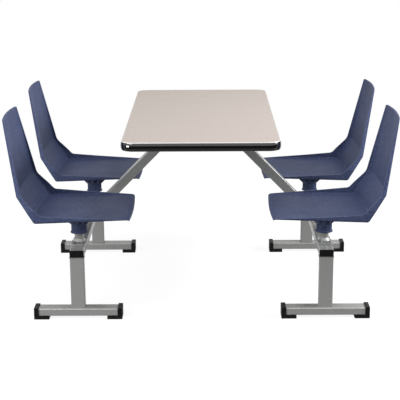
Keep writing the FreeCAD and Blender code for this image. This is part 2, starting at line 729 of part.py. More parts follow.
def hub_bushes():
    """Lower bush round the post and upper bush round the spindle."""
    return [lipped_bush(LOWER_BUSH_BORE, HUB_BOTTOM, BUSH_LENGTH, HUB_BOTTOM - BUSH_LIP),
            lipped_bush(UPPER_BUSH_BORE, HUB_WEB_BOTTOM, HUB_WEB_THICKNESS, HUB_RECESS_FLOOR)]


def seat_screw():
    """Screw up through the hub's head into the boss under the seat."""
    head = rod(SEAT_SCREW_HEAD_DIAMETER / 2, HUB_HEAD_BOTTOM - SEAT_SCREW_HEAD_HEIGHT,
               SEAT_SCREW_HEAD_HEIGHT)
    reach = HUB_HEAD_THICKNESS + BOSS_HEIGHT - SEAT_SCREW_TIP_GAP
    return head.fuse(rod(SEAT_SCREW_DIAMETER / 2, HUB_HEAD_BOTTOM, reach))


# ---------------------------------------------------------------- seat shell

def pan_level(u):
    """Height of the pan's underside; the pan rises slightly towards its front."""
    return PAN_HEIGHT - u * tangent(PAN_TILT)


def back_u(z):
    """The back's outer face at the seat's sides, at height z."""
    bend = PAN_REAR + (BEND_HEIGHT - pan_level(PAN_REAR)) / tangent(LOWER_BACK_ANGLE)
    return bend + (z - BEND_HEIGHT) / tangent(BACK_ANGLE)


def side_taper():
    """How much narrower the back gets for each millimetre of height."""
    return (BEND_HALF_WIDTH - BACK_CORNER_HALF_WIDTH) / (BACK_CORNER_HEIGHT - BEND_HEIGHT)


def along_line(start, through, share):
    """Point on the line from start, at a share of the way to another point."""
    return tuple(a + (b - a) * share for a, b in zip(start, through))


def crowned(half, rise, corner_radius):
    """Apex height and radius of a shallow arc that rises between two rounded corners."""
    share = 1 - CORNER_SHARE * corner_radius / half
    apex = rise / (1 - share / 2)
    return apex, share * half ** 2 / apex


def tilted(shape):
    """Lays a shape drawn on the level z = 0 onto the tilted pan."""
    return moved(turned(shape, PAN_TILT, V(0, 1, 0)), 0, 0, PAN_HEIGHT)


def above_nose(offset, height):
    """Space over the rolled front edge and ahead of it, at an offset from the shell's outside."""
    start = PAN_FRONT - NOSE_SETBACK
    ahead = block(REACH - start, 2 * REACH, NOSE_ROUND + height, V(-REACH, -REACH, -NOSE_ROUND))
    roll = Part.makeCylinder(NOSE_ROUND + offset, 2 * REACH, V(-start, -REACH, -NOSE_ROUND), V(0, 1, 0))
    return ahead.cut(roll)


def bow_radius():
    """Radius of the large cylinders that the two back faces lie on."""
    return (BEND_HALF_WIDTH ** 2 + BOW_DEPTH ** 2) / (2 * BOW_DEPTH)


def bowed_side(u, z, angle, inset):
    """Inside of a large cylinder whose wall is the bowed face through (u, z) at the sides."""
    outward = V(sine(angle), 0, -cosine(angle))
    along = V(cosine(angle), 0, sine(angle))
    centre = V(u, 0, z) + outward * (BOW_DEPTH - bow_radius())
    side = Part.makeCylinder(bow_radius() - inset, 4 * REACH, centre - along * 2 * REACH, along)
    return side.rotated(centre, along, 180)


def corner_bow():
    """How much further out the back's face lies at its top corners than at the bend's ends."""
    return BOW_DEPTH - bow_radius() + math.sqrt(bow_radius() ** 2 - BACK_CORNER_HALF_WIDTH ** 2)


def leaning_walls(inset):
    """Space between side walls that lean out and come closer towards the front."""
    sweep = math.degrees(math.atan2(PAN_REAR_HALF_WIDTH - PAN_FRONT_HALF_WIDTH, PAN_REAR + PAN_FRONT))
    half = block(4 * REACH, 2 * REACH, 4 * REACH, V(-2 * REACH, -2 * REACH, -2 * REACH))
    half = turned(turned(half, -WALL_LEAN, V(1, 0, 0)), sweep)
    half = moved(half, PAN_REAR, PAN_REAR_HALF_WIDTH - inset, PAN_HEIGHT)
    return half.common(half.mirror(V(0, 0, 0), V(0, 1, 0)))


def narrowing_walls(inset):
    """Space between side walls that come closer towards the top of the back."""
    foot = BEND_HALF_WIDTH + side_taper() * BEND_HEIGHT - inset
    head = foot - side_taper() * 2 * REACH
    points = [(-foot, 0), (foot, 0), (head, 2 * REACH), (-head, 2 * REACH)]
    return moved(prism(points, [0] * 4, in_yz, V(2 * REACH, 0, 0)), -REACH)


def inner_corners(space):
    """Edges along the side walls' feet and the two creases of the back."""
    nose_tip = -PAN_FRONT - NOSE_ROUND
    feet = [edge for edge in space.Edges
            if abs(edge.CenterOfMass.y) > BACK_CORNER_HALF_WIDTH / 2
            and nose_tip < edge.BoundBox.XMin < REACH / 2
            and edge.BoundBox.XMax > nose_tip + NOSE_ROUND / 2
            and edge.BoundBox.ZMin < BACK_CORNER_HEIGHT]
    creases = [edge for edge in space.Edges
               if abs(edge.CenterOfMass.y) < SHELL_FILLET
               and edge.BoundBox.XMin > 0 and edge.BoundBox.ZMax < BACK_TOP]
    return feet + creases


def bucket(inset):
    """Space above the pan and its rolled front, ahead of the back, between the side walls."""
    floor = block(2 * REACH, 2 * REACH, REACH, V(-REACH, -REACH, inset))
    floor = tilted(floor.fuse(above_nose(inset, inset)).removeSplitter())
    lower = bowed_side(PAN_REAR, pan_level(PAN_REAR), LOWER_BACK_ANGLE, inset)
    upper = bowed_side(back_u(BEND_HEIGHT), BEND_HEIGHT, BACK_ANGLE, inset)
    space = floor.common(lower).common(upper)
    space = space.common(leaning_walls(inset)).common(narrowing_walls(inset))
    return space.makeFillet(SHELL_FILLET - inset, inner_corners(space))


def rim_prism():
    """Everything below and behind the rim, seen from the side."""
    inner = SHELL_THICKNESS + RIM_LIFT_FRONT
    front_u = NOSE_SETBACK - PAN_FRONT
    rear_u = PAN_REAR - RIM_REAR_SETBACK
    middle = (0, pan_level(0) + SHELL_THICKNESS + RIM_LIFT_MIDDLE)
    start = along_line(middle, (front_u, pan_level(front_u) + inner), REACH / PAN_FRONT)
    rear = (rear_u, pan_level(rear_u) + SHELL_THICKNESS + RIM_LIFT_REAR)
    bend = (back_u(BEND_HEIGHT) - RIM_BEND_DEPTH, BEND_HEIGHT - RIM_BEND_DROP)
    corner_u = back_u(BACK_CORNER_HEIGHT) + corner_bow()
    top = along_line(bend, (corner_u - inner, BACK_CORNER_HEIGHT), 2)
    points = [start, middle, rear, bend, top, (REACH, top[1]), (REACH, 0), (-REACH, 0)]
    radii = [0, RIM_ROUND_MIDDLE, RIM_ROUND_REAR, RIM_ROUND_BEND, 0, 0, 0, 0]
    return moved(prism(points, radii, in_xz, V(0, 2 * REACH, 0)), 0, -REACH)


def back_outline():
    """The seat seen from behind: narrowing sides, rounded top corners and a crowned top."""
    foot = BACK_CORNER_HALF_WIDTH + side_taper() * BACK_CORNER_HEIGHT
    corner = BACK_CORNER_HALF_WIDTH
    apex, crown_radius = crowned(corner, BACK_CROWN, BACK_CORNER_RADIUS)
    points = [(-foot, 0), (foot, 0), (corner, BACK_CORNER_HEIGHT),
              (0, BACK_CORNER_HEIGHT + apex), (-corner, BACK_CORNER_HEIGHT)]
    radii = [0, 0, BACK_CORNER_RADIUS, crown_radius, BACK_CORNER_RADIUS]
    return moved(prism(points, radii, in_yz, V(2 * REACH, 0, 0)), -REACH)


def pan_outline():
    """The seat seen from above: a bowed front edge with rounded corners."""
    side = PAN_REAR_HALF_WIDTH + SHELL_THICKNESS
    half = PAN_FRONT_HALF_WIDTH
    apex, nose_radius = crowned(half, PAN_FRONT_BOW, PAN_CORNER_RADIUS)
    points = [(REACH, -REACH), (REACH, REACH), (0, REACH), (0, side), (-PAN_FRONT, half),
              (-PAN_FRONT - apex, 0), (-PAN_FRONT, -half), (0, -side), (0, -REACH)]
    radii = [0, 0, 0, 0, PAN_CORNER_RADIUS, nose_radius, PAN_CORNER_RADIUS, 0, 0]
    return prism(points, radii, in_xy(0), UP * 2 * REACH)


def seat_shell():
    """One-piece moulded seat: pan with a rolled front, bowed back, low side walls, boss."""
    inside = bucket(SHELL_THICKNESS)
    above_rim = tilted(above_nose(SHELL_THICKNESS + RIM_LIFT_FRONT, REACH))
    shell = bucket(0).common(rim_prism()).common(back_outline()).common(pan_outline())
    shell = shell.cut(above_rim).cut(inside)
    boss = rod(HEAD_RADIUS + BOSS_MARGIN, HUB_TOP, BOSS_HEIGHT + SHELL_THICKNESS).cut(inside)
    shell = shell.fuse(boss).removeSplitter()
    return cut_holes(shell, SEAT_SCREW_DIAMETER, seat_screw_places(), HUB_TOP, BOSS_HEIGHT)


def build_seats():
    """The four seats with their hubs, bushes and screws."""
    shell = seat_shell()
    hub = swivel_hub()
    screws = at_places(seat_screw(), seat_screw_places())
    for name, side in SIDES.items():
        for place, end in ENDS.items():
            label = name + "_" + place
            save("seat_shell_" + label, at_seat(shell, side, end))
            save("swivel_hub_" + label, at_seat(hub, side, end))
            save("hub_bushes_" + label, [at_seat(bush, side, end) for bush in hub_bushes()])
            save("seat_screws_" + label, [at_seat(screw, side, end) for screw in screws])


build_top()
build_arms()
build_side_frames()
build_posts()
build_seats()
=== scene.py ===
# Canteen table with four swivel seats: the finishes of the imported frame, the weld beads and
# bolts that the frame keeps plain, and the studio. Metres, in the frame's own axes: +Z is up,
# +X runs across the top and +Y along it.

import json
import logging
import math
from dataclasses import dataclass, field
from enum import Enum
from typing import Any

import bmesh
import bpy
from mathutils import Matrix, Vector


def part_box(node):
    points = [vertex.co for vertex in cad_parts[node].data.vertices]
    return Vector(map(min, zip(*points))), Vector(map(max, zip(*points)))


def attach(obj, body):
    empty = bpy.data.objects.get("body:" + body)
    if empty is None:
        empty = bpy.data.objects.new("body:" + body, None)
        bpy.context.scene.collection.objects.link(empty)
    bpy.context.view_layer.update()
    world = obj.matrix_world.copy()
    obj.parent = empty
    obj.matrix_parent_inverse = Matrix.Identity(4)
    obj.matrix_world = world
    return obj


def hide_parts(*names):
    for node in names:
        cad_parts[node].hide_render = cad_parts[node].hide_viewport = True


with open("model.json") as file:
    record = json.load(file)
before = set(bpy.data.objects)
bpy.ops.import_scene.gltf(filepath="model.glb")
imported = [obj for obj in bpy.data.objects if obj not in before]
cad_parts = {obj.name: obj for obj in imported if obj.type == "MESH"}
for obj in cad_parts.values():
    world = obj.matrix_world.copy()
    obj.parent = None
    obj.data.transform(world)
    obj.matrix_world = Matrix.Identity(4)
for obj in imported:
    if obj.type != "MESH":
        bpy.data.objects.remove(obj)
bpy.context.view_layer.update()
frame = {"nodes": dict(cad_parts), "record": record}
LOG = logging.getLogger("swivel_table")

MM = 0.001
HALVES = (-0.5, 0.5)
# rays that the shading of a softened edge takes
EDGE_SAMPLES = 6
# points of a weld's path to each ripple of its bead
RIPPLE_POINTS = 2
# what a noise texture's values mostly stay within, and a narrower part for firmer clouds
NOISE_SPREAD = (0.3, 0.7)
NOISE_CORE = (0.35, 0.65)

Feed = bpy.types.Node | bpy.types.NodeSocket


class Place(Enum):
    """The four seats, by the side and the end of the table where they stand."""

    LEFT_FRONT = (-1, -1)
    LEFT_REAR = (-1, 1)
    RIGHT_FRONT = (1, -1)
    RIGHT_REAR = (1, 1)

    @property
    def label(self) -> str:
        """The place's words as the frame's nodes spell them."""
        return self.name.lower()


class Side(Enum):
    """The two side frames, each with its arm, its beam and two seats."""

    LEFT = -1
    RIGHT = 1

    @property
    def label(self) -> str:
        """The side's word as the frame's nodes spell it."""
        return self.name.lower()

    @property
    def places(self) -> list[Place]:
        """The seats on this side."""
        return [place for place in Place if place.value[0] == self.value]


def middle(node: str) -> Vector:
    """The centre of a node's box at rest."""
    low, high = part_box(node)
    return (low + high) / 2


# ------------------------------------------------------------------ colours and nodes


def linear(colour: str) -> tuple[float, float, float, float]:
    """Turn an sRGB hex colour into the linear colour that a shader takes.

    Args:
        colour: six hex digits after a hash.

    Returns:
        Red, green, blue and an alpha of one.
    """
    channels = [int(colour[place : place + 2], 16) / 255 for place in (1, 3, 5)]
    turned = [c / 12.92 if c <= 0.04045 else ((c + 0.055) / 1.055) ** 2.4 for c in channels]
    return (*turned, 1.0)


def per(size: float) -> float:
    """Texture scale at which a pattern's features are this many millimetres across."""
    return 1000.0 / size


def add(
    tree: bpy.types.NodeTree,
    kind: str,
    settings: dict[str, Any] | None = None,
    links: dict[str, Feed] | None = None,
) -> bpy.types.Node:
    """Add a node with its settings and links.

    Args:
        tree: the node tree that gets it.
        kind: the node's type.
        settings: values by the input's identifier or the node's own property.
        links: what feeds its inputs, by the input's identifier; a node feeds by its first
            output that is in use.

    Returns:
        The new node.
    """
    made = tree.nodes.new(kind)
    for key, value in (settings or {}).items():
        if hasattr(made, key):
            setattr(made, key, value)
    inputs = {socket.identifier: socket for socket in made.inputs}
    for key, value in (settings or {}).items():
        if key in inputs:
            inputs[key].default_value = value
    for key, feed in (links or {}).items():
        if isinstance(feed, bpy.types.Node):
            feed = next(socket for socket in feed.outputs if socket.enabled)
        tree.links.new(feed, inputs[key])
    return made


def span(low: float, high: float, first: float = 0.0, last: float = 1.0) -> dict[str, float]:
    """Settings that map low to first and high to last, and hold both ends."""
    return {"From Min": low, "From Max": high, "To Min": first, "To Max": last}


def between(first: str, second: str) -> dict[str, Any]:
    """Settings that mix one hex colour into another."""
    return {"data_type": "RGBA", "A_Color": linear(first), "B_Color": linear(second)}


def toward(colour: str) -> dict[str, Any]:
    """Settings that mix the colour fed to a node into a hex colour."""
    return {"data_type": "RGBA", "B_Color": linear(colour)}


# ------------------------------------------------------------------ finishes


@dataclass(frozen=True)
class Finish:
    """A finish: a named material whose colour, gloss and relief come from its own nodes.

    Sizes, depths and levels of every finish are in millimetres.
    """

    name: str
    specular: float = 0.5
    metallic: float = 0.0
    coat: float = 0.0
    coat_blur: float = 0.1
    # how far the shading rounds a sharp edge
    edge: float = 0.6

    def surface(self, tree: bpy.types.NodeTree, where: Feed, soft: Feed) -> dict[str, Feed]:
        """What feeds the shader's colour, roughness and normal.

        Args:
            tree: the material's node tree.
            where: the piece's own coordinates.
            soft: the normal, turned over a little at sharp edges.

        Returns:
            The feeds by the shader's input.
        """
        raise NotImplementedError

    def make(self) -> bpy.types.Material:
        """Build the material.

        Returns:
            The material, with one shader fed by colour, roughness and normal.
        """
        material = bpy.data.materials.new(self.name)
        material.use_nodes = True
        tree = material.node_tree
        tree.nodes.clear()
        where = add(tree, "ShaderNodeTexCoord").outputs["Object"]
        soft = add(tree, "ShaderNodeBevel", {"samples": EDGE_SAMPLES, "Radius": self.edge * MM})
        constants = {
            "Specular IOR Level": self.specular,
            "Metallic": self.metallic,
            "Coat Weight": self.coat,
            "Coat Roughness": self.coat_blur,
        }
        feeds = self.surface(tree, where, soft)
        shader = add(tree, "ShaderNodeBsdfPrincipled", constants, feeds)
        add(tree, "ShaderNodeOutputMaterial", links={"Surface": shader})
        return material


@dataclass(frozen=True)
class MouldedPolypropylene(Finish):
    """Injection-moulded polypropylene: one colour right through, a fine spark-eroded grain
    that breaks its soft sheen into tiny points, painted as paler flecks on the grain's crests,
    and faint flow clouds."""

    base: str = "#434b69"
    cloud: str = "#404866"
    # paler blue painted on the grain's crests as points of sheen
    crest_sheen: str = "#566080"
    # paler blue painted along the rims and other sharp edges as a highlight
    rim_highlight: str = "#8c94ad"
    # the real grain is about 0.4 mm; it is drawn at 7 mm so that it shows from across a room
    grain: float = 7.0
    grain_depth: float = 0.2
    crests: tuple[float, float] = (0.46, 0.64)
    crest_share: float = 0.55
    clouds: float = 90.0
    # cosine of the softened normal's turn, where the painted edge highlight starts and is full
    highlight_turn: tuple[float, float] = (0.985, 0.9)
    highlight_share: float = 0.6
    polished: float = 0.42
    dull: float = 0.48

    def surface(self, tree: bpy.types.NodeTree, where: Feed, soft: Feed) -> dict[str, Feed]:
        """Two close blues with a painted sheen on the grain's crests, and a painted highlight
        along the edges.
        """
        clouds = add(tree, "ShaderNodeTexNoise", {"Scale": per(self.clouds)}, {"Vector": where})
        share = add(tree, "ShaderNodeMapRange", span(*NOISE_CORE), {"Value": clouds})
        body = add(tree, "ShaderNodeMix", between(self.base, self.cloud), {"Factor_Float": share})
        grain = add(
            tree,
            "ShaderNodeTexNoise",
            {"Scale": per(self.grain), "Detail": 2.0},
            {"Vector": where},
        )
        crest = add(
            tree,
            "ShaderNodeMapRange",
            span(*self.crests, 0.0, self.crest_share),
            {"Value": grain},
        )
        # the grain's crests painted paler as points of sheen
        grained = add(
            tree,
            "ShaderNodeMix",
            toward(self.crest_sheen),
            {"Factor_Float": crest, "A_Color": body},
        )
        flat = add(tree, "ShaderNodeNewGeometry").outputs["Normal"]
        turn = add(
            tree,
            "ShaderNodeVectorMath",
            {"operation": "DOT_PRODUCT"},
            {"Vector": soft, "Vector_001": flat},
        ).outputs["Value"]
        # painted highlight along sharp edges, where the softened normal turns
        rub = add(
            tree,
            "ShaderNodeMapRange",
            span(*self.highlight_turn, 0.0, self.highlight_share),
            {"Value": turn},
        )
        colour = add(
            tree,
            "ShaderNodeMix",
            toward(self.rim_highlight),
            {"Factor_Float": rub, "A_Color": grained},
        )
        gloss = add(
            tree,
            "ShaderNodeMapRange",
            span(*NOISE_SPREAD, self.polished, self.dull),
            {"Value": clouds},
        )
        relief = add(
            tree,
            "ShaderNodeBump",
            {"Distance": self.grain_depth * MM},
            {"Height": grain, "Normal": soft},
        )
        return {"Base Color": colour, "Roughness": gloss, "Normal": relief}


@dataclass(frozen=True)
class PowderCoat(Finish):
    """Silver-grey powder coat baked on welded steel: a satin skin with orange peel and metal
    flake, with a painted highlight along its upper edges, and scuffed near the floor."""

    base: str = "#8b8c8a"
    flake: str = "#959694"
    # pale grey painted on corners that look up as a highlight
    corner_highlight: str = "#d2d3d0"
    scuff: str = "#74736f"
    # metal flake is under 0.1 mm; it is drawn at 2.5 mm so that it shows
    flake_size: float = 2.5
    flakes: tuple[float, float] = (0.45, 0.7)
    # orange peel is about 1.5 mm between crests; it is drawn at 4 mm so that it shows
    peel: float = 4.0
    peel_depth: float = 0.015
    # the largest part of the softened normal along an axis, where a corner starts and is full
    corner: tuple[float, float] = (0.98, 0.85)
    # the same on the arms, whose own faces lie at 45 degrees and get less of the painted
    # highlight, by this share, than their corners
    slant: tuple[float, float] = (0.715, 0.76)
    slant_share: float = 0.35
    # how far up a corner looks, where the painted highlight starts and is full
    upward: tuple[float, float] = (0.1, 0.5)
    highlight_share: float = 0.8
    scuffed_from: float = 30.0
    scuffed_to: float = 75.0
    scuff_share: float = 0.35
    kick: float = 14.0
    kicks: tuple[float, float] = (0.56, 0.68)
    patch: float = 70.0
    smooth: float = 0.2
    dull: float = 0.3

    def corner_highlighting(self, tree: bpy.types.NodeTree, soft: Feed) -> bpy.types.Node:
        """How much painted highlight the coat's corners get.

        Args:
            tree: the material's node tree.
            soft: the normal, turned over a little at sharp edges.

        Returns:
            A share that is 0 on level and upright faces, small on the arms' upper ones and
            full along corners that look up.
        """
        facing = add(tree, "ShaderNodeVectorMath", {"operation": "ABSOLUTE"}, {"Vector": soft})
        parts = add(tree, "ShaderNodeSeparateXYZ", links={"Vector": facing})
        plan = add(
            tree,
            "ShaderNodeMath",
            {"operation": "MAXIMUM"},
            {"Value": parts.outputs["X"], "Value_001": parts.outputs["Y"]},
        )
        squarest = add(
            tree,
            "ShaderNodeMath",
            {"operation": "MAXIMUM"},
            {"Value": plan, "Value_001": parts.outputs["Z"]},
        )
        bent = add(tree, "ShaderNodeMapRange", span(*self.corner), {"Value": squarest})
        square = add(
            tree,
            "ShaderNodeMapRange",
            span(*self.slant, self.slant_share, 1.0),
            {"Value": squarest},
        )
        corner = add(
            tree,
            "ShaderNodeMath",
            {"operation": "MULTIPLY"},
            {"Value": bent, "Value_001": square},
        )
        rise = add(tree, "ShaderNodeSeparateXYZ", links={"Vector": soft}).outputs["Z"]
        upward = add(
            tree,
            "ShaderNodeMapRange",
            span(*self.upward, 0.0, self.highlight_share),
            {"Value": rise},
        )
        return add(
            tree,
            "ShaderNodeMath",
            {"operation": "MULTIPLY"},
            {"Value": corner, "Value_001": upward},
        )

    def kicking(self, tree: bpy.types.NodeTree, where: Feed) -> bpy.types.Node:
        """How far shoes have darkened the coat.

        Args:
            tree: the material's node tree.
            where: the piece's own coordinates.

        Returns:
            A share that comes in marks on the foot bars and is 0 above them.
        """
        level = add(tree, "ShaderNodeSeparateXYZ", links={"Vector": where}).outputs["Z"]
        low = add(
            tree,
            "ShaderNodeMapRange",
            span(self.scuffed_from * MM, self.scuffed_to * MM, self.scuff_share, 0.0),
            {"Value": level},
        )
        kicks = add(
            tree,
            "ShaderNodeTexNoise",
            {"Scale": per(self.kick), "Detail": 6.0, "Roughness": 0.7},
            {"Vector": where},
        )
        marks = add(tree, "ShaderNodeMapRange", span(*self.kicks), {"Value": kicks})
        return add(
            tree,
            "ShaderNodeMath",
            {"operation": "MULTIPLY"},
            {"Value": low, "Value_001": marks},
        )

    def surface(self, tree: bpy.types.NodeTree, where: Feed, soft: Feed) -> dict[str, Feed]:
        """Grey with flake in it, a painted highlight on the corners that look up and dark kicks on
        the foot bars.
        """
        flakes = add(
            tree,
            "ShaderNodeTexNoise",
            {"Scale": per(self.flake_size), "Detail": 1.0},
            {"Vector": where},
        )
        share = add(tree, "ShaderNodeMapRange", span(*self.flakes), {"Value": flakes})
        body = add(tree, "ShaderNodeMix", between(self.base, self.flake), {"Factor_Float": share})
        # painted highlight along the corners that look up
        edged = add(
            tree,
            "ShaderNodeMix",
            toward(self.corner_highlight),
            {"Factor_Float": self.corner_highlighting(tree, soft), "A_Color": body},
        )
        colour = add(
            tree,
            "ShaderNodeMix",
            toward(self.scuff),
            {"Factor_Float": self.kicking(tree, where), "A_Color": edged},
        )
        patches = add(tree, "ShaderNodeTexNoise", {"Scale": per(self.patch)}, {"Vector": where})
        gloss = add(
            tree,
            "ShaderNodeMapRange",
            span(*NOISE_SPREAD, self.smooth, self.dull),
            {"Value": patches},
        )
        peel = add(
            tree,
            "ShaderNodeTexNoise",
            {"Scale": per(self.peel), "Detail": 1.0},
            {"Vector": where},
        )
        relief = add(
            tree,
            "ShaderNodeBump",
            {"Distance": self.peel_depth * MM},
            {"Height": peel, "Normal": soft},
        )
        return {"Base Color": colour, "Roughness": gloss, "Normal": relief}


@dataclass(frozen=True)
class SpeckledLaminate(Finish):
    """High-pressure laminate with a printed fine speckle under a satin melamine overlay."""

    base: str = "#b2a8a2"
    light: str = "#c0b8b2"
    dark: str = "#968c87"
    # the printed specks are about 1 mm; they are drawn at 5 mm so that they show
    speck: float = 5.0
    specks: tuple[float, float] = (0.5, 0.7)
    # reach of a dark dot from its cell's middle, in cells: full within, gone beyond
    dot: tuple[float, float] = (0.12, 0.3)
    dot_share: float = 0.75
    pebble: float = 3.0
    pebble_depth: float = 0.02
    patch: float = 120.0
    smooth: float = 0.42
    dull: float = 0.5

    def surface(self, tree: bpy.types.NodeTree, where: Feed, soft: Feed) -> dict[str, Feed]:
        """Light and dark specks on a warm grey ground, wiped smoother in patches."""
        pale = add(
            tree,
            "ShaderNodeTexNoise",
            {"Scale": per(self.speck), "Detail": 2.0},
            {"Vector": where},
        )
        share = add(tree, "ShaderNodeMapRange", span(*self.specks), {"Value": pale})
        ground = add(
            tree,
            "ShaderNodeMix",
            between(self.base, self.light),
            {"Factor_Float": share},
        )
        cells = add(tree, "ShaderNodeTexVoronoi", {"Scale": per(self.speck)}, {"Vector": where})
        dots = add(
            tree,
            "ShaderNodeMapRange",
            span(*self.dot, self.dot_share, 0.0),
            {"Value": cells},
        )
        colour = add(
            tree,
            "ShaderNodeMix",
            toward(self.dark),
            {"Factor_Float": dots, "A_Color": ground},
        )
        patches = add(tree, "ShaderNodeTexNoise", {"Scale": per(self.patch)}, {"Vector": where})
        gloss = add(
            tree,
            "ShaderNodeMapRange",
            span(*NOISE_SPREAD, self.smooth, self.dull),
            {"Value": patches},
        )
        pebble = add(tree, "ShaderNodeTexNoise", {"Scale": per(self.pebble)}, {"Vector": where})
        relief = add(
            tree,
            "ShaderNodeBump",
            {"Distance": self.pebble_depth * MM},
            {"Height": pebble, "Normal": soft},
        )
        return {"Base Color": colour, "Roughness": gloss, "Normal": relief}


@dataclass(frozen=True)
class MottledSkin(Finish):
    """A finish of two close shades in soft clouds, with a gloss and a relief of its own."""

    base: str = "#808080"
    shade: str = "#707070"
    mottle: float = 20.0
    detail: float = 3.0
    smooth: float = 0.3
    dull: float = 0.4
    relief_size: float = 2.0
    relief_depth: float = 0.02

    def surface(self, tree: bpy.types.NodeTree, where: Feed, soft: Feed) -> dict[str, Feed]:
        """Clouds between the two shades, with the gloss and the relief laid over them."""
        clouds = add(
            tree,
            "ShaderNodeTexNoise",
            {"Scale": per(self.mottle), "Detail": self.detail},
            {"Vector": where},
        )
        share = add(tree, "ShaderNodeMapRange", span(*NOISE_CORE), {"Value": clouds})
        colour = add(
            tree,
            "ShaderNodeMix",
            between(self.base, self.shade),
            {"Factor_Float": share},
        )
        gloss = add(
            tree,
            "ShaderNodeMapRange",
            span(*NOISE_SPREAD, self.smooth, self.dull),
            {"Value": clouds},
        )
        skin = add(
            tree,
            "ShaderNodeTexNoise",
            {"Scale": per(self.relief_size), "Detail": 2.0},
            {"Vector": where},
        )
        relief = add(
            tree,
            "ShaderNodeBump",
            {"Distance": self.relief_depth * MM},
            {"Height": skin, "Normal": soft},
        )
        return {"Base Color": colour, "Roughness": gloss, "Normal": relief}


@dataclass(frozen=True)
class MouldedPolyethylene(MottledSkin):
    """Black moulded polyethylene of shoes and caps: waxy satin, scuffed near the floor."""

    scuff: str = "#45433f"
    scuffed_below: float = 14.0
    scuff_share: float = 0.6
    rub: float = 6.0
    rubs: tuple[float, float] = (0.52, 0.66)

    def surface(self, tree: bpy.types.NodeTree, where: Feed, soft: Feed) -> dict[str, Feed]:
        """The mottled skin, with pale scuffs that thin out above the floor."""
        feeds = super().surface(tree, where, soft)
        level = add(tree, "ShaderNodeSeparateXYZ", links={"Vector": where}).outputs["Z"]
        low = add(
            tree,
            "ShaderNodeMapRange",
            span(0.0, self.scuffed_below * MM, self.scuff_share, 0.0),
            {"Value": level},
        )
        rubs = add(
            tree,
            "ShaderNodeTexNoise",
            {"Scale": per(self.rub), "Detail": 5.0},
            {"Vector": where},
        )
        marks = add(tree, "ShaderNodeMapRange", span(*self.rubs), {"Value": rubs})
        worn = add(
            tree,
            "ShaderNodeMath",
            {"operation": "MULTIPLY"},
            {"Value": low, "Value_001": marks},
        )
        colour = add(
            tree,
            "ShaderNodeMix",
            toward(self.scuff),
            {"Factor_Float": worn, "A_Color": feeds["Base Color"]},
        )
        return feeds | {"Base Color": colour}


@dataclass(frozen=True)
class ExtrudedVinyl(MottledSkin):
    """Extruded black vinyl edging: a wet-looking gloss that bends reflections lightly along
    its length, with a painted highlight on its thin top lip where it meets the laminate."""

    # near-white painted on the top lip as a highlight
    lip_highlight: str = "#dcdcda"
    # levels at which the painted lip highlight starts and is full
    lip_highlight_from: float = 737.0
    lip_highlight_full: float = 737.6

    def surface(self, tree: bpy.types.NodeTree, where: Feed, soft: Feed) -> dict[str, Feed]:
        """The mottled skin, with a painted highlight above the lip's lower line."""
        feeds = super().surface(tree, where, soft)
        level = add(tree, "ShaderNodeSeparateXYZ", links={"Vector": where}).outputs["Z"]
        share = add(
            tree,
            "ShaderNodeMapRange",
            span(self.lip_highlight_from * MM, self.lip_highlight_full * MM),
            {"Value": level},
        )
        colour = add(
            tree,
            "ShaderNodeMix",
            toward(self.lip_highlight),
            {"Factor_Float": share, "A_Color": feeds["Base Color"]},
        )
        return feeds | {"Base Color": colour}


@dataclass(frozen=True)
class ParticleBoard(Finish):
    """Raw particle board: pressed wood chips in mixed browns, dull and slightly open."""

    pale: str = "#c2a274"
    brown: str = "#8f6c45"
    chip: float = 4.0
    pore: float = 2.0
    pore_depth: float = 0.3
    smooth: float = 0.8
    dull: float = 0.95

    def surface(self, tree: bpy.types.NodeTree, where: Feed, soft: Feed) -> dict[str, Feed]:
        """Chips, each its own brown, with open pores between them."""
        chips = add(
            tree,
            "ShaderNodeTexVoronoi",
            {"Scale": per(self.chip)},
            {"Vector": where},
        ).outputs["Color"]
        share = add(tree, "ShaderNodeSeparateColor", links={"Color": chips})
        colour = add(
            tree,
            "ShaderNodeMix",
            between(self.pale, self.brown),
            {"Factor_Float": share},
        )
        pores = add(
            tree,
            "ShaderNodeTexNoise",
            {"Scale": per(self.pore), "Detail": 5.0},
            {"Vector": where},
        )
        gloss = add(
            tree,
            "ShaderNodeMapRange",
            span(*NOISE_SPREAD, self.smooth, self.dull),
            {"Value": pores},
        )
        relief = add(
            tree,
            "ShaderNodeBump",
            {"Distance": self.pore_depth * MM},
            {"Height": pores, "Normal": soft},
        )
        return {"Base Color": colour, "Roughness": gloss, "Normal": relief}


# the finish of each of the record's material slots
SLOT_FINISHES: dict[str, Finish] = {
    "laminate": SpeckledLaminate("speckled_laminate", specular=0.05, edge=0.3),
    "particle_board": ParticleBoard("raw_particle_board", specular=0.2),
    "black_edge": ExtrudedVinyl(
        "extruded_black_vinyl",
        specular=1.0,
        coat=1.0,
        base="#060607",
        shade="#0a0a0b",
        mottle=60.0,
        smooth=0.05,
        dull=0.1,
        relief_size=60.0,
        relief_depth=0.1,
    ),
    "frame_paint": PowderCoat(
        "silver_powder_coat", metallic=0.1, coat=0.25, coat_blur=0.2, edge=1.8
    ),
    "black_plastic": MouldedPolyethylene(
        "black_moulded_polyethylene",
        specular=0.15,
        edge=1.0,
        base="#101011",
        shade="#0b0b0c",
        smooth=0.36,
        dull=0.5,
        relief_size=2.5,
        relief_depth=0.06,
    ),
    "seat_plastic": MouldedPolypropylene("navy_moulded_polypropylene", specular=0.05, edge=2.0),
    # black acetal of bushes and washers: dense, smooth and slightly waxy
    "bearing_plastic": MottledSkin(
        "black_acetal",
        specular=0.3,
        base="#151517",
        shade="#1c1c1f",
        mottle=12.0,
    ),
    # dull zinc plate: cool grey metal with a faint spangle, duller in patches
    "zinc_steel": MottledSkin(
        "dull_zinc_plate",
        metallic=1.0,
        edge=0.5,
        base="#8b8e91",
        shade="#6d7073",
        mottle=4.0,
        smooth=0.32,
        dull=0.48,
    ),
}

